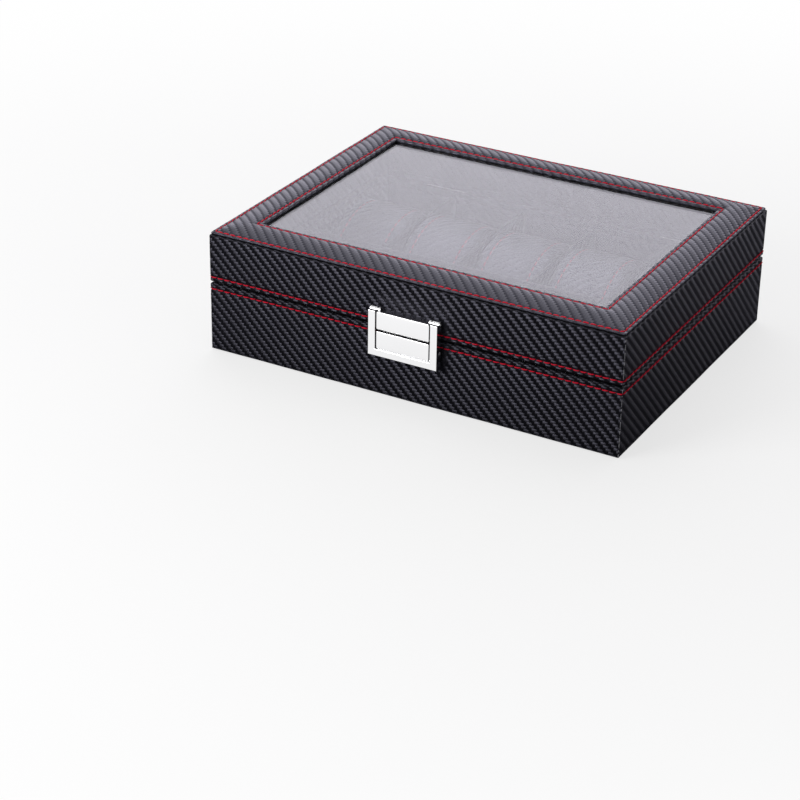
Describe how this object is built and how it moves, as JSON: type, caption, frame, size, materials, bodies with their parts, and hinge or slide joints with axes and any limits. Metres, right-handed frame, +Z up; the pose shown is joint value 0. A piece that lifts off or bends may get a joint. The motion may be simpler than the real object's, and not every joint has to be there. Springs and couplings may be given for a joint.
{
  "type": "watch box",
  "caption": "Leatherette watch box with a padded glass-topped lid, flip clasp, slotted dividers and lift-out watch pillows.",
  "frame": {"origin": "centre of the underside, on the surface the box stands on", "axes": "+X to the box's right, seen from the clasp; +Y from the clasp to the hinges; +Z up"},
  "size_m": [0.26, 0.2116, 0.077],
  "materials": {
    "twill_leatherette": "satin",
    "pillow_leatherette": "satin",
    "divider_leatherette": "satin",
    "lining": "satin",
    "red_thread": "matte",
    "fibreboard": "matte",
    "foam": "matte",
    "bottom_felt": "matte",
    "window_glass": "polished",
    "clasp_chrome": "polished",
    "hinge_steel": "satin",
    "spring_steel": "satin"
  },
  "bodies": {
    "base": {"bottom_cover": "bottom_felt", "base_floor_board": "fibreboard", "base_front_board": "fibreboard", "base_back_board": "fibreboard", "base_left_board": "fibreboard", "base_right_board": "fibreboard", "base_leather_wrap": "twill_leatherette", "base_wall_lining": "lining", "base_floor_lining": "lining", "long_divider": "divider_leatherette", "cross_divider_1": "divider_leatherette", "cross_divider_2": "divider_leatherette", "cross_divider_3": "divider_leatherette", "cross_divider_4": "divider_leatherette", "clasp_catch_plate": "clasp_chrome", "clasp_catch_spring": "spring_steel", "clasp_catch_rivets": "hinge_steel", "hinge_left_base_leaf": "hinge_steel", "hinge_right_base_leaf": "hinge_steel", "hinge_pins": "hinge_steel", "hinge_base_screws": "hinge_steel"},
    "lid": {"lid_front_board": "fibreboard", "lid_back_board": "fibreboard", "lid_left_board": "fibreboard", "lid_right_board": "fibreboard", "lid_frame_board": "fibreboard", "lid_frame_padding": "foam", "lid_top_leather": "twill_leatherette", "lid_side_leather": "twill_leatherette", "lid_wall_lining": "lining", "lid_window_glass": "window_glass", "lid_window_retainer": "lining", "clasp_hinge_plate": "clasp_chrome", "clasp_hinge_rivets": "hinge_steel", "clasp_pivot_pins": "hinge_steel", "hinge_left_lid_leaf": "hinge_steel", "hinge_right_lid_leaf": "hinge_steel", "hinge_lid_screws": "hinge_steel"},
    "clasp_bail": {"clasp_bail": "clasp_chrome"},
    "pillow_1": {"pillow_1_cover": "pillow_leatherette", "pillow_1_core": "foam"},
    "pillow_2": {"pillow_2_cover": "pillow_leatherette", "pillow_2_core": "foam"},
    "pillow_3": {"pillow_3_cover": "pillow_leatherette", "pillow_3_core": "foam"},
    "pillow_4": {"pillow_4_cover": "pillow_leatherette", "pillow_4_core": "foam"},
    "pillow_5": {"pillow_5_cover": "pillow_leatherette", "pillow_5_core": "foam"},
    "pillow_6": {"pillow_6_cover": "pillow_leatherette", "pillow_6_core": "foam"},
    "pillow_7": {"pillow_7_cover": "pillow_leatherette", "pillow_7_core": "foam"},
    "pillow_8": {"pillow_8_cover": "pillow_leatherette", "pillow_8_core": "foam"},
    "pillow_9": {"pillow_9_cover": "pillow_leatherette", "pillow_9_core": "foam"},
    "pillow_10": {"pillow_10_cover": "pillow_leatherette", "pillow_10_core": "foam"}
  },
  "joints": [
    {"name": "lid_hinge", "type": "hinge", "parent": "base", "child": "lid", "pos_m": [0, 0.1027, 0.043], "axis": [-1, 0, 0], "range_deg": [0, 100], "deforming": ["clasp_catch_spring"]},
    {"name": "clasp_flip", "type": "hinge", "parent": "lid", "child": "clasp_bail", "pos_m": [0, -0.1025, 0.0539], "axis": [-1, 0, 0], "range_deg": [0, 110], "deforming": ["clasp_catch_spring"]},
    {"name": "pillow_1_lift", "type": "slide", "parent": "base", "child": "pillow_1", "axis": [0, 0, 1], "range_m": [0, 0.02]},
    {"name": "pillow_2_lift", "type": "slide", "parent": "base", "child": "pillow_2", "axis": [0, 0, 1], "range_m": [0, 0.02]},
    {"name": "pillow_3_lift", "type": "slide", "parent": "base", "child": "pillow_3", "axis": [0, 0, 1], "range_m": [0, 0.02]},
    {"name": "pillow_4_lift", "type": "slide", "parent": "base", "child": "pillow_4", "axis": [0, 0, 1], "range_m": [0, 0.02]},
    {"name": "pillow_5_lift", "type": "slide", "parent": "base", "child": "pillow_5", "axis": [0, 0, 1], "range_m": [0, 0.02]},
    {"name": "pillow_6_lift", "type": "slide", "parent": "base", "child": "pillow_6", "axis": [0, 0, 1], "range_m": [0, 0.02]},
    {"name": "pillow_7_lift", "type": "slide", "parent": "base", "child": "pillow_7", "axis": [0, 0, 1], "range_m": [0, 0.02]},
    {"name": "pillow_8_lift", "type": "slide", "parent": "base", "child": "pillow_8", "axis": [0, 0, 1], "range_m": [0, 0.02]},
    {"name": "pillow_9_lift", "type": "slide", "parent": "base", "child": "pillow_9", "axis": [0, 0, 1], "range_m": [0, 0.02]},
    {"name": "pillow_10_lift", "type": "slide", "parent": "base", "child": "pillow_10", "axis": [0, 0, 1], "range_m": [0, 0.02]}
  ]
}
